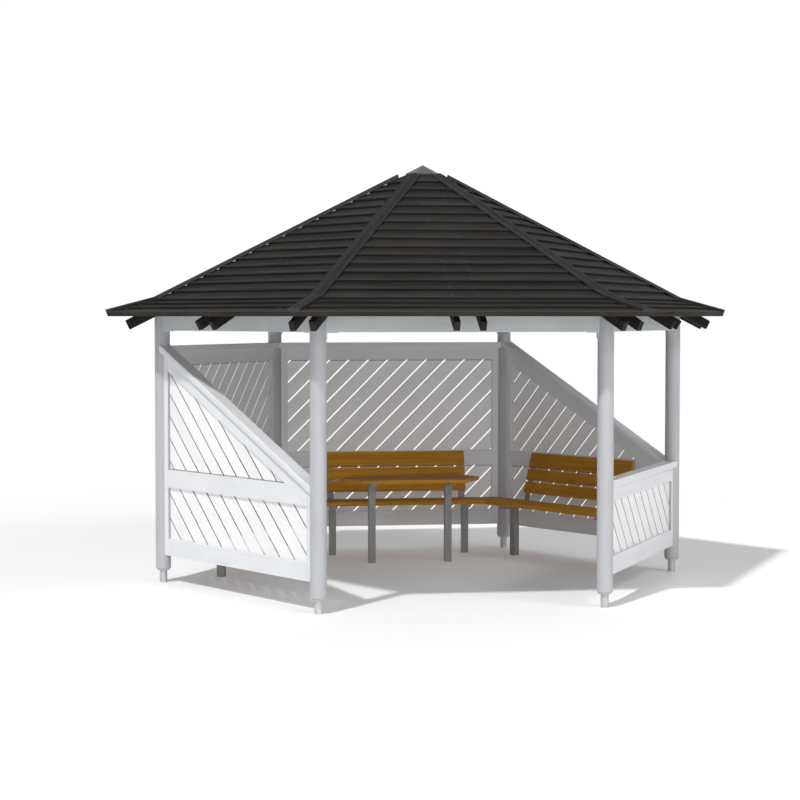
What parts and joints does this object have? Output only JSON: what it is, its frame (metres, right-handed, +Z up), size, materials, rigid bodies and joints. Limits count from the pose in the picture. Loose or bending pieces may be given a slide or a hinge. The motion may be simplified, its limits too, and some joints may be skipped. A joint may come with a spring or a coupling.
{
  "type": "garden gazebo",
  "caption": "Open six-sided timber garden gazebo with a bell-cast board roof on round posts, slatted side panels, wall benches around three sides and a long table.",
  "frame": {"origin": "on the ground at the centre of the hexagon of posts", "axes": "+Z up, the open side faces -Y, +X towards the post on the right as seen from the entrance"},
  "size_m": [5.0966, 4.4138, 3.3444],
  "materials": {
    "cap_metal": "dark grey coated sheet, satin",
    "galvanised": "dull hot-dip galvanised steel",
    "seat_wood": "warm orange-brown glaze on planed softwood, satin",
    "frame_steel": "mid grey powder coat, satin",
    "panel_paint": "opaque white paint on planed boards",
    "rafter_stain": "very dark brown opaque stain on planed timber",
    "eave_board": "dark brown stain on planed boards",
    "roof_board": "near-black brown stain on sawn lapped boards, slightly weathered",
    "post_paint": "opaque pale grey paint on turned round timber",
    "beam_paint": "opaque pale grey paint on planed timber"
  },
  "bodies": {
    "root": {"apex_cap": "cap_metal", "beam_brackets": "galvanised", "bench_back_back": "seat_wood", "bench_back_left": "seat_wood", "bench_back_right": "seat_wood", "bench_frames_back": "frame_steel", "bench_frames_left": "frame_steel", "bench_frames_right": "frame_steel", "bench_seat_back": "seat_wood", "bench_seat_left": "seat_wood", "bench_seat_right": "seat_wood", "cap_rails": "panel_paint", "crown_ring": "rafter_stain", "eave_fascia": "eave_board", "eave_sprockets": "rafter_stain", "hip_covers": "roof_board", "hip_rafters": "rafter_stain", "mid_rafters": "rafter_stain", "panel_back": "panel_paint", "panel_left_back": "panel_paint", "panel_left_front": "panel_paint", "panel_right_back": "panel_paint", "panel_right_front": "panel_paint", "post_back_left": "post_paint", "post_back_right": "post_paint", "post_feet": "galvanised", "post_front_left": "post_paint", "post_front_right": "post_paint", "post_left": "post_paint", "post_right": "post_paint", "ring_beam_back": "beam_paint", "ring_beam_front": "beam_paint", "ring_beam_left_back": "beam_paint", "ring_beam_left_front": "beam_paint", "ring_beam_right_back": "beam_paint", "ring_beam_right_front": "beam_paint", "roof_back": "roof_board", "roof_front": "roof_board", "roof_left_back": "roof_board", "roof_left_front": "roof_board", "roof_right_back": "roof_board", "roof_right_front": "roof_board", "table_frames": "frame_steel", "table_top": "seat_wood"}
  },
  "joints": []
}
